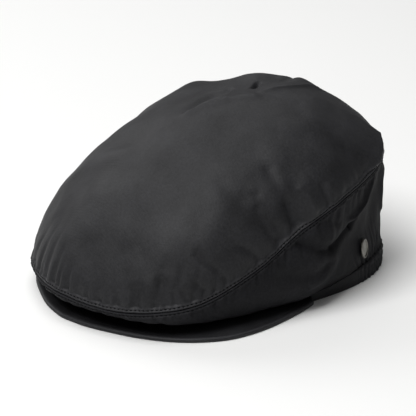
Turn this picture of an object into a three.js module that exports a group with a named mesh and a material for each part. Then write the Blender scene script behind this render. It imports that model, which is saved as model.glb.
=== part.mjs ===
import * as THREE from "three";

// A waxed flat cap that stands on the floor. The lip points to -Y and +X is the wearer's left.
// Driving sizes in millimetres
const crownLength = 258;
const crownWidth = 203.5;
const crownHeight = 127.4;
const lipY = -121.1;
const poleY = 29.6;
const rimLength = 192;
const rimWidth = 160.6;
const rimY = 29.8;
const rimSquare = 2.44;
const panelWall = 1.7;
const pieceGap = 0.3;
const peakWall = 2.7;
const peakRise = 1.0;
const peakLength = 57.0;
const bandHeight = 12;
const bandOut = 1.7;
const bandIn = 0.9;
const bandRib = 0.6;
const bandGap = 0.8;
const sideBulge = 5;
const sideOverhang = 9;
const tuckHeight = 14;
const foldWidth = 9;
const foldDepth = 4;
const gatherRib = 1.3;
const badgeHeight = 14;
const badgeWidth = 9;
const badgeWall = 1.2;
const badgeRim = 0.5;

const degree = Math.PI / 180;
const up = new THREE.Vector3(0, 0, 1);

// The outline of the crown at stations around it, turn 0 at the lip and 90 at the wearer's left.
// across, along and up place the seam as shares of half the width, the length and the height.
// shoulder and crest shape the top panel. belly and tuck shape the side panel, as shares of the
// bulge and the tuck height. hem runs from 0 over the peak to 1 over the band.
const stationColumns = ["turn", "across", "along", "up", "shoulder", "crest", "belly", "tuck", "hem"];
const stations = [
  [0, 0, -0.02, 0.155, 0.3, 0.412, 0.3, 1, 0],
  [22, 0.409, 0.023, 0.138, 0.33, 0.428, 0.2, 1, 0],
  [40, 0.685, 0.094, 0.158, 0.362, 0.454, 0.65, 0.84, 0],
  [58, 0.846, 0.199, 0.204, 0.415, 0.489, 0.52, 0.93, 0],
  [75, 0.899, 0.354, 0.321, 0.469, 0.558, 0.65, 0.84, 0.04],
  [92, 0.92, 0.478, 0.461, 0.512, 0.594, 0.88, 0.66, 0.24],
  [110, 0.93, 0.612, 0.57, 0.494, 0.556, 0.4, 0.61, 0.72],
  [130, 0.75, 0.794, 0.629, 0.434, 0.494, -0.1, 0.59, 1],
  [152, 0.495, 0.902, 0.639, 0.46, 0.555, -0.1, 0.58, 1],
  [180, 0, 0.954, 0.609, 0.528, 0.65, 0.1, 0.57, 1],
].map((row) => Object.fromEntries(row.map((value, k) => [stationColumns[k], value])));

// How far the peak reaches out of the rim, as shares of its length, out to its two ends
const peakReach = [
  { turn: 0, reach: 1 },
  { turn: 8, reach: 0.955 },
  { turn: 16, reach: 0.885 },
  { turn: 24, reach: 0.842 },
  { turn: 32, reach: 0.806 },
  { turn: 40, reach: 0.76 },
  { turn: 48, reach: 0.683 },
  { turn: 55, reach: 0.563 },
  { turn: 62, reach: 0.43 },
  { turn: 69, reach: 0.309 },
  { turn: 77, reach: 0.202 },
  { turn: 85, reach: 0.1 },
];
const peakEnd = peakReach[peakReach.length - 1].turn;

// Folds and dents. A path runs over turn and share of its panel. Width and height are shares of
// the fold width and depth, and a height below zero is a valley.
const topFolds = [
  { path: [[91, 0.03], [92, 0.1], [92, 0.2]], width: 1, height: -0.75 },
  { path: [[98, 0.05], [98, 0.13], [97, 0.25]], width: 0.78, height: 0.45 },
  { path: [[60, 0.5], [68, 0.38], [75, 0.24]], width: 0.67, height: -0.23 },
  { path: [[71, 0.38], [77, 0.24], [83, 0.08]], width: 0.67, height: -0.28 },
  { path: [[-40, 0.9], [-26, 0.86], [-17, 0.81]], width: 0.6, height: -0.85 },
  { path: [[-8, 0.79], [-6, 0.83], [1, 0.86], [23, 0.9], [97, 0.92]], width: 0.5, height: 0.35 },
  { path: [[-106, 0.62], [-86, 0.68]], width: 1.1, height: 0.5 },
  { path: [[-140, 0.76], [-157, 0.67], [-176, 0.62]], width: 1.4, height: 0.85 },
  { path: [[168, 0.88], [175, 0.79], [-178, 0.68]], width: 0.8, height: 0.4 },
  { path: [[147, 0.2], [139, 0.12], [131, 0.08]], width: 0.7, height: 0.5 },
  { path: [[124, 0.08], [120, 0.3]], width: 1, height: -0.5 },
  { path: [[-34, 0.46], [-18, 0.56]], width: 1, height: 0.4 },
  { path: [[-96, 0.05], [-99, 0.22]], width: 1, height: -0.6 },
  { path: [[-118, 0.06], [-120, 0.24]], width: 0.89, height: 0.45 },
];
const sideFolds = [
  { path: [[91, 0.07], [93, 0.12], [97, 0.21], [101, 0.3], [107, 0.36]], width: 0.56, height: -0.85 },
  { path: [[97, 0.1], [105, 0.22]], width: 1, height: 0.45 },
  { path: [[90, 0.3], [97, 0.41]], width: 1, height: 0.5 },
  { path: [[84, 0.3], [88, 0.38], [92, 0.43], [97, 0.49], [103, 0.5]], width: 0.56, height: -0.5 },
  { path: [[107, 0.42], [108, 0.5], [103, 0.58], [94, 0.57]], width: 0.56, height: 0.35 },
  { path: [[113, 0.4], [130, 0.38]], width: 2.4, height: -1.3 },
  { path: [[118, 0.32], [113, 0.33], [110, 0.36]], width: 0.5, height: -0.55 },
  { path: [[128, 0.05], [124, 0.21], [118, 0.25]], width: 0.56, height: 0.4 },
  { path: [[143, 0.12], [144, 0.45]], width: 0.67, height: 0.3 },
  { path: [[-92, 0.12], [-100, 0.32], [-110, 0.42]], width: 0.67, height: -0.75 },
  { path: [[-79, 0.2], [-88, 0.5]], width: 0.67, height: -0.45 },
  { path: [[-120, 0.25], [-130, 0.45]], width: 0.67, height: -0.5 },
  { path: [[-140, 0.1], [-146, 0.4]], width: 0.78, height: 0.45 },
];

// Turns of the mesh columns over one half, closer at the gathered back
const halfTurns = [];
for (let turn = 0; turn < 99; turn += 5) {
  halfTurns.push(turn);
}
for (let k = 0; k <= 24; k += 1) {
  halfTurns.push(100 + k * (80 / 24));
}
const topShares = [0, 0.035, 0.08, 0.14, 0.22, 0.32, 0.43, 0.55, 0.66, 0.76, 0.85, 0.93];
const sideShares = [0, 0.06, 0.14, 0.24, 0.34, 0.44, 0.54, 0.63, 0.72, 0.81, 0.91, 1];

function smooth(low, high, value) {
  const s = Math.min(1, Math.max(0, (value - low) / (high - low)));
  return s * s * (3 - 2 * s);
}

// A cubic through the rows of a table, which may close on itself
function tableValue(rows, key, turn, period) {
  const count = rows.length;
  const row = (j) => rows[((j % count) + count) % count];
  const place = (j) => row(j).turn + period * Math.floor(j / count);
  let t = turn;
  if (period > 0) {
    t = ((turn % period) + period) % period;
  }
  let i = 0;
  while (i < count - 1 && rows[i + 1].turn <= t) {
    i += 1;
  }
  if (period === 0) {
    i = Math.min(i, count - 2);
  }
  const inside = (j) => (period === 0 ? Math.min(count - 1, Math.max(0, j)) : j);
  const steps = [inside(i - 1), i, i + 1, inside(i + 2)];
  const k = steps.map(place);
  const v = steps.map((j) => row(j)[key]);
  const h = k[2] - k[1];
  const slope1 = (v[2] - v[0]) / (k[2] - k[0]);
  const slope2 = (v[3] - v[1]) / (k[3] - k[1]);
  const s = (t - k[1]) / h;
  const s2 = s * s;
  const s3 = s2 * s;
  const ends = (2 * s3 - 3 * s2 + 1) * v[1] + (3 * s2 - 2 * s3) * v[2];
  return ends + (s3 - 2 * s2 + s) * h * slope1 + (s3 - s2) * h * slope2;
}

const mirrored = stations
  .filter((row) => row.turn > 0 && row.turn < 180)
  .map((row) => ({ ...row, turn: 360 - row.turn, across: -row.across }))
  .reverse();
const ring = [...stations, ...mirrored];

function station(key, turn) {
  return tableValue(ring, key, turn, 360);
}

function seamPoint(turn) {
  const x = (station("across", turn) * crownWidth) / 2;
  return new THREE.Vector3(x, lipY + station("along", turn) * crownLength, station("up", turn) * crownHeight);
}

// The height of the side panel's hem, over the peak in front and over the band behind
function hemHeight(turn) {
  const front = peakRise + peakWall + pieceGap;
  const back = bandHeight + pieceGap;
  return front + station("hem", turn) * (back - front);
}

// A squared oval round the head, at a turn seen from its middle
function rimPoint(turn, z, grow) {
  const sine = Math.sin(turn * degree);
  const cosine = Math.cos(turn * degree);
  const across = Math.abs(sine) / (rimWidth / 2 + grow);
  const along = Math.abs(cosine) / (rimLength / 2 + grow);
  const reach = (across ** rimSquare + along ** rimSquare) ** (-1 / rimSquare);
  return new THREE.Vector3(reach * sine, rimY - reach * cosine, z);
}

function bezier(p0, p1, p2, p3, t) {
  const s = 1 - t;
  const point = p0.clone().multiplyScalar(s * s * s);
  point.addScaledVector(p1, 3 * s * s * t);
  point.addScaledVector(p2, 3 * s * t * t);
  return point.addScaledVector(p3, t * t * t);
}

// The top panel from the seam, share 0, to the pole, share 1
function topPoint(turn, share) {
  const seam = seamPoint(turn);
  const pole = new THREE.Vector3(0, poleY, crownHeight);
  const rise = station("shoulder", turn) * (crownHeight - seam.z);
  const shoulder = seam.clone().addScaledVector(up, rise);
  const flat = new THREE.Vector3(seam.x, seam.y - poleY, 0);
  const crest = pole.clone().addScaledVector(flat, station("crest", turn));
  return bezier(seam, shoulder, crest, pole, share);
}

// The side panel from the seam, share 0, to the rim, share 1. It hangs upright where the rim is
// close under the seam, and tucks in where it isn't.
function sidePoint(turn, share) {
  const seam = seamPoint(turn);
  const hem = hemHeight(turn);
  const tuck = station("tuck", turn) * tuckHeight;
  const belly = station("belly", turn) * sideBulge;
  const rim = rimPoint(turn, hem, 0);
  const out = new THREE.Vector3(Math.sin(turn * degree), -Math.cos(turn * degree), 0);
  const drop = Math.max(0, 0.45 * (seam.z - tuck));
  const high = seam.clone().addScaledVector(out, belly * 1.3).addScaledVector(up, -drop);
  const low = seam.clone().addScaledVector(out, belly);
  const over = seam.clone().sub(rim).dot(out) + belly;
  const upright = 0.3 * (seam.z - hem) * (1 - smooth(1, sideOverhang, over));
  low.z = hem + Math.max(0.6, 0.3 * tuck - 2.5) + upright;
  return bezier(seam, high, low, rim, share);
}

// The direction out of a panel. side is 1 for the top panel and -1 for a side panel.
function outward(surface, turn, share, side) {
  const s = Math.min(0.97, Math.max(0.01, share));
  const around = surface(turn + 0.3, s).sub(surface(turn - 0.3, s));
  const along = surface(turn, s + 0.01).sub(surface(turn, s - 0.01));
  return around.cross(along).normalize().multiplyScalar(side);
}

function pathDistance(point, path) {
  let best = Infinity;
  for (let i = 0; i + 1 < path.length; i += 1) {
    const line = new THREE.Line3(path[i], path[i + 1]);
    const near = line.closestPointToPoint(point, true, new THREE.Vector3());
    best = Math.min(best, near.distanceTo(point));
  }
  return best;
}

function placeFolds(folds, surface) {
  return folds.map((fold) => ({ ...fold, line: fold.path.map((p) => surface(p[0], p[1])) }));
}

const placedTop = placeFolds(topFolds, topPoint);
const placedSide = placeFolds(sideFolds, sidePoint);

function foldHeight(placed, point) {
  let height = 0;
  for (const fold of placed) {
    const share = pathDistance(point, fold.line) / (fold.width * foldWidth);
    height += fold.height * foldDepth * Math.exp(-share * share);
  }
  return height;
}

// Ribs that the elastic draws into the back of the side panels, one for two columns
function gathers(turn, share) {
  const back = smooth(114, 124, Math.abs(turn));
  const low = smooth(0.42, 0.8, share) * (1 - smooth(0.93, 1, share));
  const rib = Math.cos(((Math.abs(turn) - 100) / (160 / 24)) * 2 * Math.PI);
  return gatherRib * back * low * rib;
}

function topSurface(turn, share) {
  const point = topPoint(turn, share);
  const height = foldHeight(placedTop, point) * smooth(0, 0.1, share);
  return point.addScaledVector(outward(topPoint, turn, share, 1), height);
}

function sideSurface(turn, share) {
  const point = sidePoint(turn, share);
  const fade = smooth(0, 0.12, share) * (1 - smooth(0.85, 1, share));
  const height = foldHeight(placedSide, point) * fade + gathers(turn, share);
  return point.addScaledVector(outward(sidePoint, turn, share, -1), height);
}

// The mitre where the two panels meet, so their walls end on one line
function seamMitre(turn) {
  const seam = seamPoint(turn);
  const along = seamPoint(turn + 0.3).sub(seamPoint(turn - 0.3)).normalize();
  const leave = (surface) => {
    const way = surface(turn, 0.02).sub(seam);
    way.addScaledVector(along, -way.dot(along));
    return way.normalize();
  };
  const top = leave(topPoint);
  const side = leave(sidePoint);
  const half = Math.max(0.4, Math.acos(Math.min(1, Math.max(-1, top.dot(side)))) / 2);
  return { top, side, half };
}

// The outer and inner face of a panel at one column
function wallColumn(surface, base, side, turn, shares) {
  const mitre = seamMitre(turn);
  const way = side === 1 ? mitre.top : mitre.side;
  const back = panelWall / Math.tan(mitre.half);
  const reach = Math.max(6, 2.5 * Math.abs(back));
  const start = seamPoint(turn);
  return shares.map((share) => {
    const outer = surface(turn, share);
    if (share === 0) {
      outer.addScaledVector(way, pieceGap / 2 / Math.sin(mitre.half));
    }
    const distance = Math.min(reach, base(turn, share).distanceTo(start));
    const inner = outer.clone().addScaledVector(outward(base, turn, share, side), -panelWall);
    inner.addScaledVector(way, back * (1 - distance / reach));
    return { outer, inner };
  });
}

class Solid {
  constructor() {
    this.points = [];
    this.faces = [];
  }

  add(point) {
    this.points.push(point);
    return this.points.length - 1;
  }

  tri(a, b, c) {
    this.faces.push(a, b, c);
  }

  quad(a, b, c, d) {
    this.tri(a, b, c);
    this.tri(a, c, d);
  }

  volume() {
    let total = 0;
    for (let i = 0; i < this.faces.length; i += 3) {
      const [a, b, c] = [0, 1, 2].map((k) => this.points[this.faces[i + k]]);
      total += a.dot(b.clone().cross(c));
    }
    return total;
  }

  mesh(name, material) {
    if (this.volume() < 0) {
      this.faces.reverse();
    }
    const geometry = new THREE.BufferGeometry();
    const flat = this.points.flatMap((p) => [p.x, p.y, p.z]);
    geometry.setAttribute("position", new THREE.Float32BufferAttribute(flat, 3));
    geometry.setIndex(this.faces);
    geometry.computeVertexNormals();
    const mesh = new THREE.Mesh(geometry, material);
    mesh.name = name;
    return mesh;
  }
}

// Closed loops joined one to the next, with flat ends or closed on themselves
function loft(loops, round) {
  const solid = new Solid();
  const index = loops.map((loop) => loop.map((p) => solid.add(p)));
  const last = round ? loops.length : loops.length - 1;
  for (let i = 0; i < last; i += 1) {
    const a = index[i];
    const b = index[(i + 1) % loops.length];
    for (let j = 0; j < a.length; j += 1) {
      const n = (j + 1) % a.length;
      solid.quad(a[j], a[n], b[n], b[j]);
    }
  }
  if (!round) {
    const first = index[0];
    const end = index[index.length - 1];
    for (let j = 1; j + 1 < first.length; j += 1) {
      solid.tri(first[0], first[j + 1], first[j]);
      solid.tri(end[0], end[j], end[j + 1]);
    }
  }
  return solid;
}

function topPanel() {
  const solid = new Solid();
  const left = halfTurns;
  const right = halfTurns.slice(1, -1).map((turn) => 360 - turn).reverse();
  const turns = [...left, ...right].map((turn) => (turn > 180 ? turn - 360 : turn));
  const outer = [];
  const inner = [];
  for (const turn of turns) {
    const column = wallColumn(topSurface, topPoint, 1, turn, topShares);
    outer.push(column.map((p) => solid.add(p.outer)));
    inner.push(column.map((p) => solid.add(p.inner)));
  }
  const pole = new THREE.Vector3(0, poleY, crownHeight);
  pole.z += foldHeight(placedTop, pole);
  const outerPole = solid.add(pole);
  const innerPole = solid.add(pole.clone().addScaledVector(up, -panelWall));
  const rows = topShares.length;
  for (let i = 0; i < turns.length; i += 1) {
    const n = (i + 1) % turns.length;
    for (let j = 0; j + 1 < rows; j += 1) {
      solid.quad(outer[i][j], outer[n][j], outer[n][j + 1], outer[i][j + 1]);
      solid.quad(inner[i][j], inner[i][j + 1], inner[n][j + 1], inner[n][j]);
    }
    solid.tri(outer[i][rows - 1], outer[n][rows - 1], outerPole);
    solid.tri(inner[n][rows - 1], inner[i][rows - 1], innerPole);
    solid.quad(outer[i][0], inner[i][0], inner[n][0], outer[n][0]);
  }
  return solid;
}

// One side panel, hand 1 for the wearer's left and -1 for the right
function sidePanel(hand) {
  const ends = 0.12;
  const loops = halfTurns.map((turn) => {
    const placed = Math.min(180 - ends, Math.max(ends, turn)) * hand;
    const column = wallColumn(sideSurface, sidePoint, -1, placed, sideShares);
    const outer = column.map((p) => p.outer);
    const inner = column.map((p) => p.inner).reverse();
    return [...outer, ...inner];
  });
  const solid = new Solid();
  const index = loops.map((loop) => loop.map((p) => solid.add(p)));
  const size = loops[0].length;
  const rows = sideShares.length;
  for (let i = 0; i + 1 < loops.length; i += 1) {
    for (let j = 0; j < size; j += 1) {
      const n = (j + 1) % size;
      solid.quad(index[i][j], index[i][n], index[i + 1][n], index[i + 1][j]);
    }
  }
  // The two cut ends follow the wall, so they are laced across it
  for (let j = 0; j + 1 < rows; j += 1) {
    const a = index[0];
    const b = index[index.length - 1];
    solid.quad(a[j], a[size - 1 - j], a[size - 2 - j], a[j + 1]);
    solid.quad(b[j], b[j + 1], b[size - 2 - j], b[size - 1 - j]);
  }
  return solid;
}

// The peak lies on its outer edge and rises a little towards the rim
function peak() {
  const loops = [];
  const shares = [0, 0.2, 0.45, 0.7, 0.88, 0.96];
  const turns = [-peakEnd];
  for (let turn = -80; turn <= 80; turn += 5) {
    turns.push(turn);
  }
  turns.push(peakEnd);
  for (const turn of turns) {
    const reach = tableValue(peakReach, "reach", Math.abs(turn), 0) * peakLength;
    const inner = rimPoint(turn, 0, 0.4);
    const edge = inner.clone();
    edge.x += reach * Math.sin(turn * degree);
    edge.y -= reach * Math.cos(turn * degree);
    const at = (share, z) => {
      const point = inner.clone().lerp(edge, share);
      point.z = z + peakRise * (1 - share * share);
      return point;
    };
    const under = shares.map((share) => at(share, 0));
    const over = shares.map((share) => at(share, peakWall)).reverse();
    loops.push([...under, at(0.99, peakWall * 0.2), at(1, peakWall * 0.5), at(0.99, peakWall * 0.82), ...over]);
  }
  return loft(loops, false);
}

// The gathered band on the rim behind the peak, up to the hem of the side panels
function gatheredBand() {
  const start = peakEnd + bandGap / (rimWidth / 2) / degree;
  const turns = [start, 91, 94, 97];
  for (let k = 0; k <= 48; k += 1) {
    turns.push(100 + k * (160 / 48));
  }
  turns.push(263, 266, 269, 360 - start);
  const loops = turns.map((turn) => {
    const top = hemHeight(turn) - pieceGap;
    const gathered = smooth(108, 124, turn) * (1 - smooth(236, 252, turn));
    const rib = gathered * bandRib * Math.cos(((turn - 100) / (160 / 24)) * 2 * Math.PI);
    return [
      rimPoint(turn, 0, -bandIn),
      rimPoint(turn, 0, bandOut - 0.6),
      rimPoint(turn, top * 0.2, bandOut + rib),
      rimPoint(turn, top * 0.75, bandOut + rib),
      rimPoint(turn, top, bandOut - 0.6 + rib * 0.5),
      rimPoint(turn, top, -bandIn),
    ];
  });
  return loft(loops, false);
}

// The oval badge on the wearer's left, just clear of the panel behind it
function badge() {
  const turn = 123;
  const share = 0.72;
  const centre = sideSurface(turn, share);
  const around = sideSurface(turn + 3, share).sub(sideSurface(turn - 3, share));
  const along = sideSurface(turn, share + 0.08).sub(sideSurface(turn, share - 0.08));
  const normal = along.cross(around).normalize();
  const rise = up.clone().addScaledVector(normal, -up.dot(normal)).normalize();
  const wide = rise.clone().cross(normal).normalize();
  let lift = 0;
  for (let a = -4; a <= 4; a += 0.5) {
    for (let b = -0.12; b <= 0.12; b += 0.02) {
      const way = sideSurface(turn + a, share + b).sub(centre);
      const over = (way.dot(wide) / badgeWidth) ** 2 + (way.dot(rise) / badgeHeight) ** 2;
      if (over < 0.3) {
        lift = Math.max(lift, way.dot(normal));
      }
    }
  }
  const back = lift + pieceGap;
  const rings = [
    { size: 0.05, z: 0 },
    { size: 0.94, z: 0 },
    { size: 1, z: 0.3 },
    { size: 1, z: badgeWall },
    { size: 0.95, z: badgeWall + badgeRim },
    { size: 0.84, z: badgeWall + badgeRim },
    { size: 0.78, z: badgeWall },
    { size: 0.05, z: badgeWall },
  ];
  const loops = rings.map((r) => {
    const loop = [];
    for (let k = 0; k < 24; k += 1) {
      const angle = (k * Math.PI) / 12;
      const point = centre.clone().addScaledVector(normal, back + r.z);
      point.addScaledVector(wide, (r.size * badgeWidth * Math.cos(angle)) / 2);
      point.addScaledVector(rise, (r.size * badgeHeight * Math.sin(angle)) / 2);
      loop.push(point);
    }
    return loop;
  });
  return loft(loops, false);
}

const cloth = new THREE.MeshStandardMaterial({ color: 0x2b2c2e, roughness: 0.62 });
const clothSide = new THREE.MeshStandardMaterial({ color: 0x252628, roughness: 0.62 });
const clothPeak = new THREE.MeshStandardMaterial({ color: 0x2b2c2e, roughness: 0.58 });
const clothBand = new THREE.MeshStandardMaterial({ color: 0x202124, roughness: 0.75 });
const metal = new THREE.MeshStandardMaterial({ color: 0x9a9b98, roughness: 0.35, metalness: 1 });

const group = new THREE.Group();
group.add(topPanel().mesh("top_panel", cloth));
group.add(sidePanel(1).mesh("side_panel_left", clothSide));
group.add(sidePanel(-1).mesh("side_panel_right", clothSide));
group.add(gatheredBand().mesh("gathered_band", clothBand));
group.add(peak().mesh("peak", clothPeak));
group.add(badge().mesh("badge", metal));

export default group;
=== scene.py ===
import math
import bmesh
import bpy
import numpy as np
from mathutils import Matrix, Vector, noise


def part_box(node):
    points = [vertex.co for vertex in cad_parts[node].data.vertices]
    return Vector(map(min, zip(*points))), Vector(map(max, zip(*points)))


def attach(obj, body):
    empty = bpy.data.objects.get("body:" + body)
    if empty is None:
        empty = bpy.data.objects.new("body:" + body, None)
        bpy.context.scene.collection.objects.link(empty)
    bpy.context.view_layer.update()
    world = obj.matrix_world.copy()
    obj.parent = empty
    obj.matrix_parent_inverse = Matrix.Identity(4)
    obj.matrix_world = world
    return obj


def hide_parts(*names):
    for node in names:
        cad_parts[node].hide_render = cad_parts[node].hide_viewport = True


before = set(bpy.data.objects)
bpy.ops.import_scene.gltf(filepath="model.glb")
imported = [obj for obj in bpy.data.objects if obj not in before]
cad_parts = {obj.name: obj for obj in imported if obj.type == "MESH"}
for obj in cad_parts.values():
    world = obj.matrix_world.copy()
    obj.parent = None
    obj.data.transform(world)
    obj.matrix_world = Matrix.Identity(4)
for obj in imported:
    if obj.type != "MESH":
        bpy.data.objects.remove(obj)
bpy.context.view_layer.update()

mm = 0.001

# Sizes in mm, the same as in the part
crown = {"length": 258, "width": 203.5, "height": 127.4, "lipY": -121.1, "poleY": 29.6}
rim = {"length": 192, "width": 160.6, "y": 29.8, "square": 2.44}
side = {"bulge": 5, "overhang": 9, "tuck": 14, "frontHem": 4, "backHem": 12.3}

# Rows: turn, across, along, up, shoulder, crest, belly, tuck, hem
stationNames = ["turn", "across", "along", "up", "shoulder", "crest", "belly", "tuck", "hem"]
stations = [
    [0, 0, -0.02, 0.155, 0.3, 0.412, 0.3, 1, 0],
    [22, 0.409, 0.023, 0.138, 0.33, 0.428, 0.2, 1, 0],
    [40, 0.685, 0.094, 0.158, 0.362, 0.454, 0.65, 0.84, 0],
    [58, 0.846, 0.199, 0.204, 0.415, 0.489, 0.52, 0.93, 0],
    [75, 0.899, 0.354, 0.321, 0.469, 0.558, 0.65, 0.84, 0.04],
    [92, 0.92, 0.478, 0.461, 0.512, 0.594, 0.88, 0.66, 0.24],
    [110, 0.93, 0.612, 0.57, 0.494, 0.556, 0.4, 0.61, 0.72],
    [130, 0.75, 0.794, 0.629, 0.434, 0.494, -0.1, 0.59, 1],
    [152, 0.495, 0.902, 0.639, 0.46, 0.555, -0.1, 0.58, 1],
    [180, 0, 0.954, 0.609, 0.528, 0.65, 0.1, 0.57, 1],
]
peakRows = [
    [0, 1],
    [8, 0.955],
    [16, 0.885],
    [24, 0.842],
    [32, 0.806],
    [40, 0.76],
    [48, 0.683],
    [55, 0.563],
    [62, 0.43],
    [69, 0.309],
    [77, 0.202],
    [85, 0.1],
]


def mirrorRows():
    right = [list(row) for row in stations]
    left = []
    for row in reversed(stations[1:-1]):
        left.append([360 - row[0], -row[1]] + list(row[2:]))
    return np.array(right + left, float)


ringRows = mirrorRows()


def ringValues(turn):
    t = np.mod(np.asarray(turn, float), 360)
    count = len(ringRows)
    i = np.searchsorted(ringRows[:, 0], t, side="right") - 1

    def row(j):
        values = ringRows[np.mod(j, count)].copy()
        values[..., 0] += 360 * np.floor_divide(j, count)
        return values

    p0, p1, p2, p3 = row(i - 1), row(i), row(i + 1), row(i + 2)
    h = (p2[..., 0] - p1[..., 0])[..., None]
    m1 = (p2 - p0) / (p2[..., 0] - p0[..., 0])[..., None]
    m2 = (p3 - p1) / (p3[..., 0] - p1[..., 0])[..., None]
    s = (t - p1[..., 0])[..., None] / h
    v = (2 * s**3 - 3 * s**2 + 1) * p1 + (s**3 - 2 * s**2 + s) * h * m1
    v = v + (3 * s**2 - 2 * s**3) * p2 + (s**3 - s**2) * h * m2
    return {name: v[..., k] for k, name in enumerate(stationNames)}


def hemHeight(turn):
    share = ringValues(turn)["hem"]
    return side["frontHem"] + share * (side["backHem"] - side["frontHem"])


def seamPoint(turn):
    v = ringValues(turn)
    x = v["across"] * crown["width"] / 2
    y = crown["lipY"] + v["along"] * crown["length"]
    return np.stack([x, y, v["up"] * crown["height"]], -1)


def rimPoint(turn, z, grow=0.0):
    a = np.radians(turn)
    across = np.abs(np.sin(a)) / (rim["width"] / 2 + grow)
    along = np.abs(np.cos(a)) / (rim["length"] / 2 + grow)
    reach = (across ** rim["square"] + along ** rim["square"]) ** (-1 / rim["square"])
    return np.stack([reach * np.sin(a), rim["y"] - reach * np.cos(a), z + 0 * reach], -1)


def bezier(p0, p1, p2, p3, t):
    t = t[..., None]
    s = 1 - t
    return s**3 * p0 + 3 * s**2 * t * p1 + 3 * s * t**2 * p2 + t**3 * p3


def topPoint(turn, share):
    turn, share = np.broadcast_arrays(np.asarray(turn, float), np.asarray(share, float))
    v = ringValues(turn)
    seam = seamPoint(turn)
    pole = np.array([0, crown["poleY"], crown["height"]])
    shoulder = seam.copy()
    shoulder[..., 2] += v["shoulder"] * (crown["height"] - seam[..., 2])
    flat = seam - pole
    flat[..., 2] = 0
    crest = pole + flat * v["crest"][..., None]
    return bezier(seam, shoulder, crest, pole, share)


def sidePoint(turn, share):
    turn, share = np.broadcast_arrays(np.asarray(turn, float), np.asarray(share, float))
    v = ringValues(turn)
    seam = seamPoint(turn)
    hem = hemHeight(turn)
    tuck = v["tuck"] * side["tuck"]
    belly = (v["belly"] * side["bulge"])[..., None]
    edge = rimPoint(turn, hem)
    a = np.radians(turn)
    out = np.stack([np.sin(a), -np.cos(a), 0 * a], -1)
    high = seam + out * belly * 1.3
    high[..., 2] -= np.maximum(0, 0.45 * (seam[..., 2] - tuck))
    low = seam + out * belly
    over = ((seam - edge) * out).sum(-1) + belly[..., 0]
    upright = 0.3 * (seam[..., 2] - hem) * (1 - smooth(1, side["overhang"], over))
    low[..., 2] = hem + np.maximum(0.6, 0.3 * tuck - 2.5) + upright
    return bezier(seam, high, low, edge, share)


def outward(surface, turn, share, hand):
    s = np.clip(share, 0.01, 0.97)
    around = surface(turn + 0.3, s) - surface(turn - 0.3, s)
    along = surface(turn, s + 0.01) - surface(turn, s - 0.01)
    n = np.cross(around, along)
    return hand * n / np.linalg.norm(n, axis=-1, keepdims=True)


def smooth(low, high, value):
    s = np.clip((value - low) / (high - low), 0, 1)
    return s * s * (3 - 2 * s)


def bell(value, width):
    return np.exp(-(value / width) ** 2)


# Smooth noise over points in mm, from Blender's own fixed table
def lumps(points, size, seed):
    flat = points.reshape(-1, 3) / size
    values = [noise.noise(Vector((p[0] + seed * 7.3, p[1] - seed * 3.1, p[2] + seed))) for p in flat]
    return np.array(values).reshape(points.shape[:-1])


def pathDistance(points, line):
    best = np.full(points.shape[:-1], 1e9)
    for a, b in zip(line[:-1], line[1:]):
        way = b - a
        t = np.clip(((points - a) @ way) / max(way @ way, 1e-9), 0, 1)
        best = np.minimum(best, np.linalg.norm(points - a - t[..., None] * way, axis=-1))
    return best


# Folds as path over turn and share, width and height in mm, and how sharp the crest is
def foldHeight(points, surface, folds):
    height = np.zeros(points.shape[:-1])
    for path, width, depth, sharp in folds:
        line = [surface(p[0], p[1]) for p in path]
        d = pathDistance(points, line)
        if sharp:
            height += depth * np.exp(-(np.sqrt(d * d + 0.25) - 0.5) / width)
        else:
            height += depth * bell(d, width)
    return height


def srgb(code):
    parts = [int(code[k:k + 2], 16) / 255 for k in (1, 3, 5)]
    parts = [c / 12.92 if c <= 0.04045 else ((c + 0.055) / 1.055) ** 2.4 for c in parts]
    return (parts[0], parts[1], parts[2], 1)


def addNode(tree, kind, values=(), links=(), **settings):
    node = tree.nodes.new(kind)
    for key, value in settings.items():
        setattr(node, key, value)
    for key, value in dict(values).items():
        node.inputs[key].default_value = value
    for key, source in dict(links).items():
        tree.links.new(source, node.inputs[key])
    return node


# Camera: the photograph's angle, fitted from the cap's outline, with its target in mm
view = {"azimuth": 52.2, "elevation": 21.35, "target": (-5.8, 4.1, 45.5), "distance": 1.697, "lens": 214.2}


def placeCamera():
    azimuth = math.radians(view["azimuth"])
    height = math.radians(view["elevation"])
    level = math.cos(height)
    back = Vector((math.sin(azimuth) * level, -math.cos(azimuth) * level, math.sin(height)))
    target = Vector(view["target"]) * mm
    data = bpy.data.cameras.new("camera")
    data.sensor_width = 36
    data.lens = view["lens"]
    data.clip_start = 0.05
    data.clip_end = 20
    camera = bpy.data.objects.new("camera", data)
    bpy.context.collection.objects.link(camera)
    camera.location = target + back * view["distance"]
    camera.rotation_euler = back.to_track_quat("Z", "Y").to_euler()
    bpy.context.scene.camera = camera


placeCamera()
print("camera placed")


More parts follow.
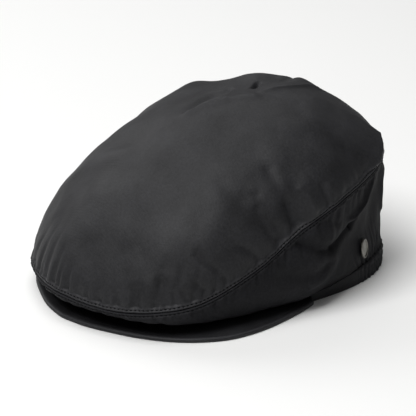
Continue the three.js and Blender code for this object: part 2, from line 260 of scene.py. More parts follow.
# A mesh from a grid of points in mm, with a cloth map in mm and a value for wear and painted highlight
def gridMesh(name, points, cloth, wear_and_highlight, closed=False, pole=None, flip=False):
    n, m = points.shape[:2]
    verts = points.reshape(-1, 3) * mm
    faces = []
    last = n if closed else n - 1
    for i in range(last):
        k = (i + 1) % n
        for j in range(m - 1):
            faces.append((i * m + j, k * m + j, k * m + j + 1, i * m + j + 1))
    if pole is not None:
        verts = np.vstack([verts, pole * mm])
        for i in range(last):
            k = (i + 1) % n
            faces.append((i * m + m - 1, k * m + m - 1, n * m))
        cloth = np.vstack([cloth.reshape(-1, 2), [[0, 0]]])
        wear_and_highlight = np.append(wear_and_highlight.reshape(-1), wear_and_highlight[:, -1].mean())
    if flip:
        faces = [tuple(reversed(face)) for face in faces]
    mesh = bpy.data.meshes.new(name)
    mesh.from_pydata(verts.tolist(), [], faces)
    cloth = cloth.reshape(-1, 2)
    layer = mesh.uv_layers.new(name="cloth")
    corner = np.zeros(len(mesh.loops), dtype=np.int32)
    mesh.loops.foreach_get("vertex_index", corner)
    layer.data.foreach_set("uv", (cloth[corner] * 0.01).reshape(-1))
    wearAndHighlightValue = mesh.attributes.new("wear_and_highlight", "FLOAT", "POINT")
    wearAndHighlightValue.data.foreach_set("value", wear_and_highlight.reshape(-1).astype(np.float32))
    mesh.shade_smooth()
    piece = bpy.data.objects.new(name, mesh)
    bpy.context.collection.objects.link(piece)
    return piece


def applyAll(piece):
    bpy.context.view_layer.objects.active = piece
    for modifier in list(piece.modifiers):
        with bpy.context.temp_override(object=piece, active_object=piece):
            bpy.ops.object.modifier_apply(modifier=modifier.name)


def gridNormals(points, closed=False, hand=1):
    if closed:
        around = np.roll(points, -1, 0) - np.roll(points, 1, 0)
    else:
        around = np.gradient(points, axis=0)
    along = np.gradient(points, axis=1)
    n = np.cross(around, along)
    return hand * n / np.maximum(np.linalg.norm(n, axis=-1, keepdims=True), 1e-9)


def arcs(points):
    steps = np.linalg.norm(np.diff(points, axis=1), axis=-1)
    return np.concatenate([np.zeros((len(points), 1)), np.cumsum(steps, axis=1)], axis=1)


# Colours in sRGB: waxed cotton reads near black with a grey sheen
colours = {
    "panel": "#272729",
    # Painted shade: the side panels are the top's cloth, made darker for the shade they fall in
    "side": "#222224",
    "peak": "#262628",
    # Its own near-black with painted light added, as the band sits in shadow
    "band": "#2a2a2c",
    # Thread: its own black, darkened further as painted shade of the needle holes
    "threadDeep": "#040405",
    "threadPale": "#0e0e10",
    "pewterDeep": "#3f3e3b",
    "pewterPale": "#8b8983",
    "floor": "#f4f4f3",
}


# Waxed cotton: a tight plain weave filled with wax, so the eye gets a dull satin with a soft painted
# highlight on the crests, faint crumple marks where the wax has cracked and a few specks of lint.
# The weave is drawn at 2.2 mm, coarser than the real 0.5 mm, so that the render still holds it.
def waxedCotton(name, colour, rough, gloss, crumple):
    material = bpy.data.materials.new(name)
    material.use_nodes = True
    tree = material.node_tree
    tree.nodes.clear()
    out = addNode(tree, "ShaderNodeOutputMaterial")
    shader = addNode(tree, "ShaderNodeBsdfPrincipled", {"Specular IOR Level": gloss})
    tree.links.new(shader.outputs[0], out.inputs[0])
    uv = addNode(tree, "ShaderNodeUVMap", uv_map="cloth").outputs[0]
    place = addNode(tree, "ShaderNodeTexCoord").outputs["Object"]
    wearAndHighlightValue = addNode(tree, "ShaderNodeAttribute", attribute_name="wear_and_highlight").outputs["Fac"]
    # One unit of the map is 100 mm
    across = addNode(tree, "ShaderNodeTexWave", {"Scale": 14.5, "Distortion": 0.6, "Detail Scale": 3},
                     {"Vector": uv}, bands_direction="X")
    along = addNode(tree, "ShaderNodeTexWave", {"Scale": 14.5, "Distortion": 0.6, "Detail Scale": 3},
                    {"Vector": uv}, bands_direction="Y")
    threads = addNode(tree, "ShaderNodeMath", {}, {0: across.outputs["Fac"], 1: along.outputs["Fac"]},
                      operation="MULTIPLY")
    blotch = addNode(tree, "ShaderNodeTexNoise", {"Scale": 34, "Detail": 5, "Roughness": 0.6},
                     {"Vector": place})
    grain = addNode(tree, "ShaderNodeTexNoise", {"Scale": 620, "Detail": 4, "Roughness": 0.75},
                    {"Vector": place})
    fleck = addNode(tree, "ShaderNodeMapRange",
                    {"From Min": 0.32, "From Max": 0.68, "To Min": 0.72, "To Max": 1.3},
                    {"Value": grain.outputs["Fac"]})
    cracks = addNode(tree, "ShaderNodeTexNoise",
                     {"Scale": 60, "Detail": 6, "Roughness": 0.62, "Distortion": 1.4},
                     {"Vector": place}, noise_type="RIDGED_MULTIFRACTAL")
    lint = addNode(tree, "ShaderNodeTexVoronoi", {"Scale": 260}, {"Vector": place})
    speck = addNode(tree, "ShaderNodeMapRange",
                    {"From Min": 0.035, "From Max": 0.02, "To Min": 0, "To Max": 0.35},
                    {"Value": lint.outputs["Distance"]})
    base = srgb(colour)
    wearAndHighlightColour = tuple(min(1, c * 2.1 + 0.004) for c in base[:3]) + (1,)
    deep = tuple(c * 0.62 for c in base[:3]) + (1,)
    tone = addNode(tree, "ShaderNodeValToRGB", {}, {"Fac": blotch.outputs["Fac"]})
    tone.color_ramp.elements[0].position = 0.3
    tone.color_ramp.elements[0].color = deep
    tone.color_ramp.elements[1].position = 0.72
    tone.color_ramp.elements[1].color = tuple(c * 1.18 for c in base[:3]) + (1,)
    # Paler where the value is high: wear beside the seams, and painted highlight on crests and edges
    wornAndHighlighted = addNode(tree, "ShaderNodeMix", {}, {"Factor": wearAndHighlightValue, "A": tone.outputs["Color"]}, data_type="RGBA")
    wornAndHighlighted.inputs["B"].default_value = wearAndHighlightColour
    linted = addNode(tree, "ShaderNodeMix", {},
                     {"Factor": speck.outputs["Result"], "A": wornAndHighlighted.outputs["Result"]},
                     data_type="RGBA")
    linted.inputs["B"].default_value = tuple(c * 5 for c in base[:3]) + (1,)
    grained = addNode(tree, "ShaderNodeMix", {},
                      {"A": linted.outputs["Result"], "B": fleck.outputs["Result"]},
                      data_type="RGBA", blend_type="MULTIPLY")
    grained.inputs["Factor"].default_value = 1
    tree.links.new(grained.outputs["Result"], shader.inputs["Base Color"])
    dull = addNode(tree, "ShaderNodeMapRange", {"To Min": rough - 0.07, "To Max": rough + 0.09},
                   {"Value": blotch.outputs["Fac"]})
    tree.links.new(dull.outputs["Result"], shader.inputs["Roughness"])
    bumpCracks = addNode(tree, "ShaderNodeBump", {"Strength": crumple, "Distance": 0.0006},
                         {"Height": cracks.outputs["Fac"]})
    bumpWeave = addNode(tree, "ShaderNodeBump", {"Strength": 0.12, "Distance": 0.00025},
                        {"Height": threads.outputs[0], "Normal": bumpCracks.outputs[0]})
    bumpGrain = addNode(tree, "ShaderNodeBump", {"Strength": 0.5, "Distance": 0.0003},
                        {"Height": grain.outputs["Fac"], "Normal": bumpWeave.outputs[0]})
    tree.links.new(bumpGrain.outputs[0], shader.inputs["Normal"])
    return material


# Pewter: cast and tumbled, so it shows soft scratches and darker hollows
def pewter(name):
    material = bpy.data.materials.new(name)
    material.use_nodes = True
    tree = material.node_tree
    shader = tree.nodes["Principled BSDF"]
    shader.inputs["Metallic"].default_value = 1
    place = addNode(tree, "ShaderNodeTexCoord").outputs["Object"]
    cloud = addNode(tree, "ShaderNodeTexNoise", {"Scale": 420, "Detail": 5}, {"Vector": place})
    tone = addNode(tree, "ShaderNodeValToRGB", {}, {"Fac": cloud.outputs["Fac"]})
    tone.color_ramp.elements[0].color = srgb(colours["pewterDeep"])
    tone.color_ramp.elements[1].color = srgb(colours["pewterPale"])
    tree.links.new(tone.outputs["Color"], shader.inputs["Base Color"])
    dull = addNode(tree, "ShaderNodeMapRange", {"To Min": 0.22, "To Max": 0.45},
                   {"Value": cloud.outputs["Fac"]})
    tree.links.new(dull.outputs["Result"], shader.inputs["Roughness"])
    dents = addNode(tree, "ShaderNodeBump", {"Strength": 0.25, "Distance": 0.0002},
                    {"Height": cloud.outputs["Fac"]})
    tree.links.new(dents.outputs[0], shader.inputs["Normal"])
    return material


# Twisted polyester thread, darker than the cloth: its own black plus painted shade of the needle holes it
# sinks into
def threadMaterial(name):
    material = bpy.data.materials.new(name)
    material.use_nodes = True
    tree = material.node_tree
    shader = tree.nodes["Principled BSDF"]
    shader.inputs["Specular IOR Level"].default_value = 0.08
    place = addNode(tree, "ShaderNodeTexCoord").outputs["Object"]
    twist = addNode(tree, "ShaderNodeTexNoise", {"Scale": 1600, "Detail": 3}, {"Vector": place})
    tone = addNode(tree, "ShaderNodeValToRGB", {}, {"Fac": twist.outputs["Fac"]})
    tone.color_ramp.elements[0].color = srgb(colours["threadDeep"])
    tone.color_ramp.elements[1].color = srgb(colours["threadPale"])
    tree.links.new(tone.outputs["Color"], shader.inputs["Base Color"])
    dull = addNode(tree, "ShaderNodeMapRange", {"To Min": 0.6, "To Max": 0.8},
                   {"Value": twist.outputs["Fac"]})
    tree.links.new(dull.outputs["Result"], shader.inputs["Roughness"])
    fibres = addNode(tree, "ShaderNodeBump", {"Strength": 0.4, "Distance": 0.0001},
                     {"Height": twist.outputs["Fac"]})
    tree.links.new(fibres.outputs[0], shader.inputs["Normal"])
    return material


clothTop = waxedCotton("waxed_cotton_top", colours["panel"], 0.52, 0.2, 0.2)
# The side cloth's darker colour is painted shade
clothSideShaded = waxedCotton("waxed_cotton_side_shaded", colours["side"], 0.6, 0.06, 0.24)
clothPeak = waxedCotton("waxed_cotton_peak", colours["peak"], 0.5, 0.2, 0.14)
clothBandLightened = waxedCotton("waxed_cotton_band_lightened", colours["band"], 0.6, 0.12, 0.18)
thread = threadMaterial("polyester_thread")


# The seam allowances lift each panel beside the seam, the seam itself sinks, and the row of
# topstitching pulls a narrow channel with small puckers across it. All in mm.
seamWork = {
    "stitchOffset": 1.9,
    "lift": 0.4,
    "valley": 0.75,
    "channel": 0.75,
    "pucker": 0.3,
    # creases drawn in by the stitching: spacing, shift, length and depth
    "creases": ((8.7, 0.4, 15, 1.2), (5.9, 2.2, 9, 0.9), (14.3, 1.1, 24, 1.2)),
}


def seamRelief(d, arc, front):
    offset = seamWork["stitchOffset"]
    lift = seamWork["lift"] * (1 - smooth(2.6, 5, d))
    valley = -seamWork["valley"] * bell(d, 0.6)
    channel = -seamWork["channel"] * bell(d - offset, 0.6)
    ripple = np.sin(arc / 5.3 + 2.1 * np.sin(arc / 17)) * np.sin(arc / 2.9 + 1.3 * np.sin(arc / 23))
    pucker = seamWork["pucker"] * ripple * bell(d - offset - 0.6, 2.6)
    drawn = 0
    for step, shift, reach, height in seamWork["creases"]:
        wander = arc + 3.2 * np.sin(arc / 37 + shift) + 0.12 * d * np.sin(arc / 29 + shift)
        pulled = (0.5 + 0.5 * np.sin(2 * math.pi * wander / step)) ** 3
        length = reach * (0.65 + 0.35 * np.sin(arc / 19 + 2.3 * shift))
        drawn = drawn - height * pulled * np.exp(-(d / length) ** 2) * smooth(1.6, 4, d)
    return lift + valley + channel + pucker + drawn * front


def seamArc(turn):
    fine = np.linspace(-180, 180, 1441)
    steps = np.linalg.norm(np.diff(seamPoint(fine), axis=0), axis=-1)
    along = np.concatenate([[0], np.cumsum(steps)])
    wrapped = np.mod(np.asarray(turn) + 180, 360) - 180
    return np.interp(wrapped, fine, along)


# The top panel, one dome of cloth from the seam to the crown, with its rows crowded near the seam
topPiece = {
    "columns": 440,
    "rows": 112,
    "crowding": 1.55,
    "lastRow": 0.985,
    "wall": 1.3,
    "folds": [
        # the folds that the solids hold
        ([[91, 0.03], [92, 0.1], [92, 0.2]], 9, -3, 0),
        ([[98, 0.05], [98, 0.13], [97, 0.25]], 7, 1.8, 0),
        ([[60, 0.5], [68, 0.38], [75, 0.24]], 6, -0.9, 0),
        ([[71, 0.38], [77, 0.24], [83, 0.08]], 6, -1.1, 0),
        ([[-40, 0.9], [-26, 0.86], [-17, 0.81]], 5.4, -3.4, 0),
        ([[-8, 0.79], [-6, 0.83], [1, 0.86], [23, 0.9], [97, 0.92]], 4.5, 1.4, 0),
        ([[-106, 0.62], [-86, 0.68]], 10, 2, 0),
        ([[-140, 0.76], [-157, 0.67], [-176, 0.62]], 12.5, 3.4, 0),
        ([[168, 0.88], [175, 0.79], [-178, 0.68]], 7, 1.6, 0),
        ([[147, 0.2], [139, 0.12], [131, 0.08]], 6, 2, 0),
        ([[124, 0.08], [120, 0.3]], 9, -2, 0),
        ([[-34, 0.46], [-18, 0.56]], 9, 1.6, 0),
        ([[-96, 0.05], [-99, 0.22]], 9, -2.4, 0),
        ([[-118, 0.06], [-120, 0.24]], 8, 1.8, 0),
        # finer creases
        ([[65, 0.05], [62, 0.13], [58, 0.19], [54, 0.24]], 2.4, -1.9, 0),
        ([[76, 0.04], [72, 0.13], [68, 0.19]], 2.2, -1.7, 0),
        ([[58, 0.06], [55, 0.11]], 1.8, -1.5, 0),
        ([[43, 0.03], [41, 0.15]], 3.4, -2.3, 0),
        ([[47, 0.03], [46, 0.1]], 2.0, -1.5, 0),
        ([[52, 0.03], [50, 0.09]], 1.8, -1.5, 0),
        ([[33, 0.03], [31, 0.12]], 3.0, -1.8, 0),
        ([[26, 0.03], [24, 0.1]], 2.6, -1.4, 0),
        ([[83, 0.15], [85, 0.03]], 2.4, -1.5, 0),
        ([[88, 0.12], [88, 0.03]], 2.2, 1.1, 0),
        ([[75, 0.3], [79, 0.16], [83, 0.06]], 2.6, -1.1, 0),
        ([[82, 0.45], [84, 0.38], [86, 0.31], [88, 0.24]], 4, -1.0, 0),
        ([[75, 0.37], [77, 0.31], [79, 0.25], [81, 0.18]], 3.6, -0.9, 0),
        ([[89, 0.21], [90, 0.12]], 4.5, -2.4, 0),
        ([[94, 0.25], [97, 0.17], [99, 0.09], [101, 0.02]], 3, 1.3, 0),
        ([[104, 0.2], [105, 0.06]], 3, -1.5, 0),
        ([[107, 0.16], [107, 0.04]], 4, 0.9, 0),
        ([[147, 0.19], [137, 0.1], [129, 0.02]], 1.6, 1.3, 1),
        ([[147, 0.1], [142, 0.02]], 1.8, 1.0, 1),
        ([[-174, 0.94], [-162, 0.88]], 1.5, -3.4, 0),
        ([[139, 0.91], [159, 0.86], [167, 0.78], [173, 0.68], [174, 0.59]], 1.6, 1.2, 1),
        ([[-173, 0.74], [-170, 0.58]], 3, -1.6, 0),
        ([[-8, 0.79], [-6, 0.83], [1, 0.86], [10, 0.885], [23, 0.905]], 1.5, 1.2, 1),
        ([[-30, 0.93], [-88, 0.94]], 2.2, -1.8, 0),
        ([[-34, 0.5], [-18, 0.58]], 3, 0.5, 1),
    ],
}


def buildTop():
    turns = np.linspace(-180, 180, topPiece["columns"], endpoint=False)
    shares = np.linspace(0, 1, topPiece["rows"]) ** topPiece["crowding"] * topPiece["lastRow"]
    grid, span = np.meshgrid(turns, shares, indexing="ij")
    base = topPoint(grid, span)
    normal = outward(topPoint, grid, span, 1)
    d = arcs(base)
    arc = seamArc(grid)
    height = foldHeight(base, topPoint, topPiece["folds"]) * smooth(0, 0.07, span)
    front = 0.45 + 1.1 * bell(np.mod(grid + 180, 360) - 180, 75)
    height += seamRelief(d, arc, front)
    sag = lumps(base, 42, 1) * 1.5 + lumps(base, 19, 2) * 0.9
    height += sag * smooth(4, 30, d)
    height += lumps(base * [1, 1, 1], 7, 3) * 0.12
    points = base + normal * height[..., None]
    total = d[:, -1:]
    a = np.radians(grid)
    cloth = np.stack([(total - d) * np.sin(a), -(total - d) * np.cos(a)], -1)
    # Paler lines beside the seam are wear; the paler fold crests are painted highlight
    seamWearAndCrestHighlight = 0.35 * bell(d - 1.0, 0.5) + 0.25 * bell(d - 3.0, 0.8) + 0.08 * np.maximum(0, height)
    wear_and_highlight = np.clip(seamWearAndCrestHighlight, 0, 0.5)
    pole = points[:, -1].mean(0)
    piece = gridMesh("top_panel_cloth", points, cloth, wear_and_highlight, closed=True, pole=pole)
    wall = piece.modifiers.new("wall", "SOLIDIFY")
    wall.thickness = topPiece["wall"] * mm
    wall.offset = -1
    applyAll(piece)
    piece.data.materials.append(clothTop)
    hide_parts("top_panel")
    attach(piece, "root")
    return {"points": points, "normals": gridNormals(points, closed=True), "d": d, "turns": turns}


topGrid = buildTop()
print("top panel built")


# The badge sits low on the wearer's left, so the cloth behind it stays calm
badgePiece = {"turn": 123, "share": 0.72, "height": 14, "width": 9, "middle": 0.85, "columns": 72}

# A side panel: folds from the photograph on the wearer's left, plainer ones on the right
sidePiece = {
    "columns": 440,
    "rows": 100,
    "wall": 1.3,
    "folds": [
        ([[91, 0.07], [93, 0.12], [97, 0.21], [101, 0.3], [107, 0.36]], 5, -2.8, 0),
        ([[92, 0.08], [93, 0.12], [97, 0.215], [101, 0.305], [107, 0.36]], 1.8, -1.3, 1),
        ([[97, 0.1], [105, 0.22]], 9, 1.8, 0),
        ([[90, 0.3], [97, 0.41]], 9, 2, 0),
        ([[84, 0.3], [88, 0.38], [92, 0.43], [97, 0.49], [103, 0.5]], 5, -2, 0),
        ([[107, 0.42], [108, 0.5], [103, 0.58], [94, 0.57]], 5, 1.4, 0),
        ([[113, 0.4], [130, 0.38]], 21.6, -5.2, 0),
        ([[118, 0.32], [113, 0.33], [110, 0.36]], 3.4, -1.9, 0),
        ([[118, 0.31], [113, 0.33], [110, 0.36], [107, 0.36]], 1.2, -1.0, 1),
        ([[128, 0.05], [124, 0.21], [118, 0.25]], 4.4, 1.5, 0),
        ([[129, 0.02], [124, 0.21], [118, 0.25], [116, 0.22]], 1.2, 1.7, 1),
        ([[143, 0.12], [144, 0.45]], 6, 1.2, 0),
        ([[144, 0.03], [142, 0.2], [143, 0.5]], 1.6, 1.0, 1),
        ([[103, 0.04], [106, 0.11], [110, 0.18]], 2.4, -0.9, 0),
        ([[116.5, 0.28], [118.5, 0.35]], 1.1, -1.3, 1),
        ([[119.5, 0.29], [118, 0.35]], 1.1, -1.3, 1),
        ([[121, 0.31], [118.5, 0.33]], 0.9, -1.0, 1),
        ([[93, 0.6], [100, 0.59], [104, 0.52]], 2.4, 0.8, 0),
        ([[-92, 0.12], [-100, 0.32], [-110, 0.42]], 6, -3, 0),
        ([[-92, 0.12], [-100, 0.32], [-108, 0.4]], 2, -0.8, 1),
        ([[-79, 0.2], [-88, 0.5]], 6, -1.8, 0),
        ([[-120, 0.25], [-130, 0.45]], 6, -2, 0),
        ([[-140, 0.1], [-146, 0.4]], 7, 1.8, 0),
        ([[-134, 0.05], [-126, 0.25]], 2, 0.9, 1),
    ],
}


# Fine ribs that the elastic draws into the cloth: the turns where they start, and steps and heights in mm
elastic = {
    "start": 114,
    "full": 121,
    "perDegree": 1.62,
    "step": 4.3,
    "height": 0.62,
    "fineStep": 2.7,
    "fineHeight": 0.3,
}


def elasticRibs(turn, low):
    back = smooth(elastic["start"], elastic["full"], np.abs(turn))
    arc = np.abs(turn) * elastic["perDegree"]
    main = np.sin(2 * math.pi * arc / elastic["step"] + 1.6 * np.sin(arc / 9) + 2.2 * low)
    fine = np.sin(2 * math.pi * arc / elastic["fineStep"] + 1.1 * np.sin(arc / 13) - 1.4 * low)
    return back * (elastic["height"] * main + elastic["fineHeight"] * fine)


def buildSide(name, hand, node):
    ends = 0.06
    turns = np.linspace(ends, 180 - ends, sidePiece["columns"]) * hand
    even = np.linspace(0, 1, sidePiece["rows"])
    shares = 0.3 * even**2.2 + 0.7 * even
    grid, span = np.meshgrid(turns, shares, indexing="ij")
    base = sidePoint(grid, span)
    normal = outward(sidePoint, grid, span, -1)
    d = arcs(base)
    rest = d[:, -1:] - d
    arc = seamArc(grid)
    fade = smooth(0, 0.1, span) * (1 - smooth(0.88, 1, span))
    height = foldHeight(base, sidePoint, sidePiece["folds"]) * fade
    room = smooth(14, 30, d[:, -1:])
    height += seamRelief(d, arc, 0.8) * (0.35 + 0.65 * room)
    height += elasticRibs(grid, rest / 26) * np.exp(-(rest / 17) ** 2) * smooth(0.2, 0.5, span)
    behind = sidePoint(np.array(float(badgePiece["turn"])), np.array(badgePiece["share"]))
    calm = 1 - bell(np.linalg.norm(base - behind, axis=-1), 11) * (hand > 0)
    sag = lumps(base, 36, 5) * 1.6 + lumps(base, 15, 6) * 0.8
    height += sag * smooth(4, 22, d) * smooth(2, 12, rest) * calm
    height += lumps(base, 6, 7) * 0.16 * calm
    backSeam = (180 - np.abs(grid)) * 1.9
    height += (-0.9 * bell(backSeam, 0.9) + 0.4 * (1 - smooth(4.5, 7, backSeam))) * smooth(1, 6, d)
    points = base + normal * height[..., None]
    cloth = np.stack([arc * hand, d], -1)
    # Paler lines beside the seam are wear; the paler fold crests are painted highlight
    seamWearAndCrestHighlight = 0.3 * bell(d - 1.0, 0.5) + 0.2 * bell(d - 3.0, 0.8) + 0.1 * np.maximum(0, height - 0.6)
    wear_and_highlight = np.clip(seamWearAndCrestHighlight, 0, 0.5)
    piece = gridMesh(name, points, cloth, wear_and_highlight, flip=hand > 0)
    wall = piece.modifiers.new("wall", "SOLIDIFY")
    wall.thickness = sidePiece["wall"] * mm
    wall.offset = -1
    applyAll(piece)
    piece.data.materials.append(clothSideShaded)
    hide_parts(node)
    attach(piece, "root")
    return {"points": points, "normals": gridNormals(points, hand=-hand), "d": d, "turns": turns}


leftGrid = buildSide("side_panel_left_cloth", 1, "side_panel_left")
rightGrid = buildSide("side_panel_right_cloth", -1, "side_panel_right")
print("side panels built")


# The peak: a stiff crescent covered in cloth, with a soft rounded edge
peakPiece = {
    "length": 57.0,
    "spread": 85,
    "rise": 1.0,
    "wall": 2.7,
    "columns": 240,
    "flatShare": 0.93,
    "noseShare": 0.07,
}


def hermite(keys, values, x):
    i = int(np.clip(np.searchsorted(keys, x, side="right") - 1, 0, len(keys) - 2))
    a = max(0, i - 1)
    b = min(len(keys) - 1, i + 2)
    h = keys[i + 1] - keys[i]
    m1 = (values[i + 1] - values[a]) / (keys[i + 1] - keys[a])
    m2 = (values[b] - values[i]) / (keys[b] - keys[i])
    s = (x - keys[i]) / h
    v = (2 * s**3 - 3 * s**2 + 1) * values[i] + (s**3 - 2 * s**2 + s) * h * m1
    return v + (3 * s**2 - 2 * s**3) * values[i + 1] + (s**3 - s**2) * h * m2


def closeEnds(piece, columns, rows):
    work = bmesh.new()
    work.from_mesh(piece.data)
    work.verts.ensure_lookup_table()
    for k in (0, columns - 1):
        loop = [work.verts[k * rows + j] for j in range(rows)]
        work.faces.new(loop)
    for i in range(columns - 1):
        a = work.verts[i * rows]
        b = work.verts[(i + 1) * rows]
        c = work.verts[(i + 2) * rows - 1]
        d = work.verts[(i + 1) * rows - 1]
        work.faces.new((a, d, c, b))
    bmesh.ops.recalc_face_normals(work, faces=work.faces)
    work.to_mesh(piece.data)
    work.free()
    piece.data.shade_smooth()


def peakSection():
    flat = peakPiece["flatShare"]
    turned = np.linspace(0.25, math.pi - 0.1, 13)
    over = [(s, 1.0) for s in np.linspace(0, flat, 34)]
    nose = [(flat + peakPiece["noseShare"] * math.sin(a), 0.5 + 0.5 * math.cos(a)) for a in turned]
    under = [(s, 0.0) for s in np.linspace(flat, 0, 26)]
    return over + nose + under


def buildPeak():
    turns = np.linspace(-peakPiece["spread"], peakPiece["spread"], peakPiece["columns"])
    rows = np.array(peakRows, float)
    a = np.radians(turns)
    reach = []
    for turn in turns:
        reach.append(hermite(rows[:, 0], rows[:, 1], abs(turn)) * peakPiece["length"])
    reach = np.array(reach)
    inner = rimPoint(turns, 0.0, 0.4)
    out = np.stack([np.sin(a), -np.cos(a), 0 * a], -1)
    section = peakSection()
    steps = np.linalg.norm(np.diff(inner + out * reach[:, None], axis=0), axis=-1)
    arc = np.concatenate([[0], np.cumsum(steps)])
    points = np.zeros((len(turns), len(section), 3))
    cloth = np.zeros((len(turns), len(section), 2))
    wear_and_highlight = np.zeros((len(turns), len(section)))
    nose = min(1.4, peakPiece["wall"] * 0.5)
    flat = peakPiece["flatShare"]
    edge = np.maximum(reach - nose, reach * flat)
    for k, (s, h) in enumerate(section):
        if s <= flat:
            far = edge * (s / flat)
        else:
            far = edge + (reach - edge) * ((s - flat) / peakPiece["noseShare"])
        share = far / np.maximum(reach, 1e-6)
        lift = peakPiece["rise"] * (1 - share**2)
        points[:, k] = inner + out * far[:, None]
        points[:, k, 2] = lift + peakPiece["wall"] * h
        fromEdge = reach - far
        if h > 0.5:
            points[:, k, 2] += -0.35 * bell(fromEdge - 4.2, 0.7) + 0.12 * bell(fromEdge - 2.2, 1.2)
        cloth[:, k, 0] = arc
        cloth[:, k, 1] = far + (8 if h < 0.5 else 0)
        # Painted highlight: the top face made paler just inside the rounded edge, where it catches the
        # light
        wear_and_highlight[:, k] = 0.5 * bell(fromEdge - 1.2, 1.1) if h > 0.3 else 0
    wave = lumps(points, 30, 9) * 0.35
    points[..., 2] += wave * smooth(0, 10, np.array([[p[0] for p in section]]) * reach[:, None])
    points[..., 2] = np.maximum(points[..., 2], 0.02)
    piece = gridMesh("peak_cloth", points, cloth, wear_and_highlight)
    closeEnds(piece, len(turns), len(section))
    piece.data.materials.append(clothPeak)
    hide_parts("peak")
    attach(piece, "root")


buildPeak()
print("peak built")


# The elastic casing round the back of the rim, ribbed and stitched in two rows
bandPiece = {"out": 1.7, "inside": 0.9, "gap": 0.8, "columns": 900}


def buildBand():
    start = peakPiece["spread"] + math.degrees(bandPiece["gap"] / (rim["width"] / 2))
    turns = np.linspace(start, 360 - start, bandPiece["columns"])
    folded = np.where(turns > 180, 360 - turns, turns)
    top = hemHeight(turns) + 0.6
    section = [(0.0, 0), (0.0, 0.6), (0.0, 0.85), (0.06, 1)]
    section += [(s, 1) for s in np.linspace(0.12, 0.9, 16)]
    section += [(0.96, 0.9), (1.0, 0.6), (1.0, 0)]
    points = np.zeros((len(turns), len(section), 3))
    cloth = np.zeros((len(turns), len(section), 2))
    wear_and_highlight = np.zeros((len(turns), len(section)))
    for k, (s, outShare) in enumerate(section):
        z = s * top
        ribs = elasticRibs(folded, s * 0.5) * outShare
        rows = -0.45 * (bell(z - 3.2, 0.7) + bell(z - 8.4, 0.7)) * smooth(112, 124, folded)
        wall = bandPiece["inside"] + bandPiece["out"]
        grow = -bandPiece["inside"] + outShare * wall + ribs + rows * outShare
        points[:, k] = rimPoint(turns, z, grow)
        cloth[:, k, 0] = turns * 1.55
        cloth[:, k, 1] = z
        # Painted highlight: the rib crests made paler, as if lit
        wear_and_highlight[:, k] = np.clip(0.35 * ribs, 0, 0.5)
    piece = gridMesh("gathered_band_cloth", points, cloth, wear_and_highlight)
    closeEnds(piece, len(turns), len(section))
    piece.data.materials.append(clothBandLightened)
    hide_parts("gathered_band")
    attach(piece, "root")


buildBand()
print("band built")


# One row of topstitching: short plump threads that dip into the cloth at both ends, in mm
stitches = {"pitch": 2.9, "length": 1.7, "radius": 0.36}


def stitchRow(name, points, normals, pitch, length, radius):
    steps = np.linalg.norm(np.diff(points, axis=0), axis=-1)
    along = np.concatenate([[0], np.cumsum(steps)])
    verts = []
    faces = []
    rings = [(-0.5, 0.35, -0.35), (-0.36, 0.85, 0.1), (-0.12, 1.0, 0.42),
             (0.12, 1.0, 0.42), (0.36, 0.85, 0.1), (0.5, 0.35, -0.35)]
    sides = 6
    at = pitch
    while at < along[-1] - pitch:
        frameRows = []
        for share, fat, rise in rings:
            place = at + share * length
            p = np.array([np.interp(place, along, points[:, k]) for k in range(3)])
            n = np.array([np.interp(place, along, normals[:, k]) for k in range(3)])
            frameRows.append((p + n * rise * radius, n / np.linalg.norm(n), fat))
        tangent = frameRows[-1][0] - frameRows[0][0]
        tangent = tangent / np.linalg.norm(tangent)
        first = len(verts)
        for p, n, fat in frameRows:
            across = np.cross(tangent, n)
            for q in range(sides):
                angle = 2 * math.pi * q / sides
                verts.append(p + (across * math.cos(angle) + n * math.sin(angle)) * radius * fat)
        for r in range(len(rings) - 1):
            for q in range(sides):
                w = (q + 1) % sides
                a = first + r * sides
                faces.append((a + q, a + w, a + sides + w, a + sides + q))
        faces.append(tuple(first + q for q in reversed(range(sides))))
        faces.append(tuple(first + (len(rings) - 1) * sides + q for q in range(sides)))
        at += pitch
    mesh = bpy.data.meshes.new(name)
    mesh.from_pydata((np.array(verts) * mm).tolist(), [], faces)
    mesh.shade_smooth()
    piece = bpy.data.objects.new(name, mesh)
    bpy.context.collection.objects.link(piece)
    piece.data.materials.append(thread)
    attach(piece, "root")
    return piece


def rowAt(grid, offset):
    points = []
    normals = []
    for i in range(len(grid["turns"])):
        d = grid["d"][i]
        points.append([np.interp(offset, d, grid["points"][i, :, k]) for k in range(3)])
        normals.append([np.interp(offset, d, grid["normals"][i, :, k]) for k in range(3)])
    return np.array(points), np.array(normals)


def buildStitches():
    offset = seamWork["stitchOffset"]
    p, n = rowAt(topGrid, offset)
    p = np.vstack([p, p[:1]])
    n = np.vstack([n, n[:1]])
    stitchRow("stitches_top_panel", p, n, **stitches)
    for grid, label in ((leftGrid, "left"), (rightGrid, "right")):
        p, n = rowAt(grid, offset)
        stitchRow("stitches_side_" + label, p, n, **stitches)


buildStitches()
print("stitches built")


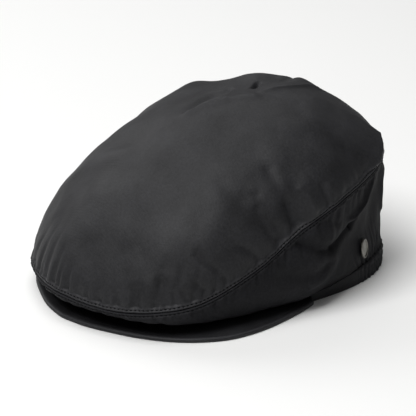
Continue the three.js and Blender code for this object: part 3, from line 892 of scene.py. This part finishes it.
# The badge: an oval cast plate with a raised rim and a bare face
def buildBadge():
    low, high = (np.array(corner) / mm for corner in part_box("badge"))
    centre = (low + high) / 2
    near = leftGrid["points"]
    i = int(round(badgePiece["turn"] / 180 * (len(near) - 1)))
    j = int(round(badgePiece["share"] * (near.shape[1] - 1)))
    normal = np.cross(near[i, j + 6] - near[i, j - 6], near[i + 6, j] - near[i - 6, j])
    normal = normal / np.linalg.norm(normal)
    rise = np.array([0, 0, 1.0]) - normal * normal[2]
    rise = rise / np.linalg.norm(rise)
    wide = np.cross(rise, normal)
    profile = [(0, 0.2), (0.3, 0.2), (0.9, 0.0), (0.97, 0.2), (1.0, 0.6), (1.0, 1.1), (0.97, 1.5),
               (0.92, 1.68), (0.86, 1.66), (0.81, 1.42), (0.78, 1.12), (0.74, 1.02),
               (0.5, 1.12), (0.25, 1.2), (0, 1.23)]
    count = badgePiece["columns"]
    middle = badgePiece["middle"]
    verts = []
    faces = []
    for k in range(count):
        angle = 2 * math.pi * k / count
        for size, z in profile[1:-1]:
            p = centre + normal * (z - middle)
            p = p + wide * (size * badgePiece["width"] / 2 * math.cos(angle))
            p = p + rise * (size * badgePiece["height"] / 2 * math.sin(angle))
            verts.append(p)
    rows = len(profile) - 2
    verts.append(centre + normal * (profile[0][1] - middle))
    verts.append(centre + normal * (profile[-1][1] - middle))
    for k in range(count):
        w = (k + 1) % count
        for j in range(rows - 1):
            faces.append((k * rows + j, w * rows + j, w * rows + j + 1, k * rows + j + 1))
        faces.append((w * rows, k * rows, count * rows))
        faces.append((k * rows + rows - 1, w * rows + rows - 1, count * rows + 1))
    mesh = bpy.data.meshes.new("badge_plate")
    mesh.from_pydata((np.array(verts) * mm).tolist(), [], faces)
    mesh.shade_smooth()
    piece = bpy.data.objects.new("badge_plate", mesh)
    bpy.context.collection.objects.link(piece)
    piece.data.materials.append(pewter("pewter"))
    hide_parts("badge")
    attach(piece, "root")


buildBadge()
print("badge built")


# Floor and light: a plain pale floor with soft boxes around and above, in m and W
studio = {
    "floorReach": 6,
    "boxSide": 1.2,
    "aim": (0, 0, 0.06),
    "world": 0.08,
    "lights": [
        ("key", (0.14, -1.09, 1.9), 34),
        ("window", (-1.79, -0.23, 1.26), 13),
        ("top", (0, 0, 2.2), 12),
        ("back", (-1.23, 0.95, 1.56), 6),
        ("fill", (1.23, -0.95, 1.56), 3),
    ],
}


def areaLight(name, place, power):
    data = bpy.data.lights.new(name, "AREA")
    data.shape = "RECTANGLE"
    data.size = studio["boxSide"]
    data.size_y = studio["boxSide"]
    data.energy = power
    light = bpy.data.objects.new(name, data)
    bpy.context.collection.objects.link(light)
    light.location = place
    way = Vector(place) - Vector(studio["aim"])
    light.rotation_euler = way.to_track_quat("Z", "Y").to_euler()


def buildStage():
    mesh = bpy.data.meshes.new("floor")
    r = studio["floorReach"]
    mesh.from_pydata([(-r, -r, 0), (r, -r, 0), (r, r, 0), (-r, r, 0)], [], [(0, 1, 2, 3)])
    floor = bpy.data.objects.new("floor", mesh)
    bpy.context.collection.objects.link(floor)
    material = bpy.data.materials.new("pale_floor")
    material.use_nodes = True
    shader = material.node_tree.nodes["Principled BSDF"]
    shader.inputs["Base Color"].default_value = srgb(colours["floor"])
    shader.inputs["Roughness"].default_value = 0.9
    floor.data.materials.append(material)
    world = bpy.data.worlds.new("studio")
    bpy.context.scene.world = world
    world.use_nodes = True
    world.node_tree.nodes["Background"].inputs["Color"].default_value = (1, 1, 1, 1)
    world.node_tree.nodes["Background"].inputs["Strength"].default_value = studio["world"]
    for name, place, power in studio["lights"]:
        areaLight(name, place, power)
    bpy.context.scene.view_settings.view_transform = "Standard"


buildStage()
print("stage built")
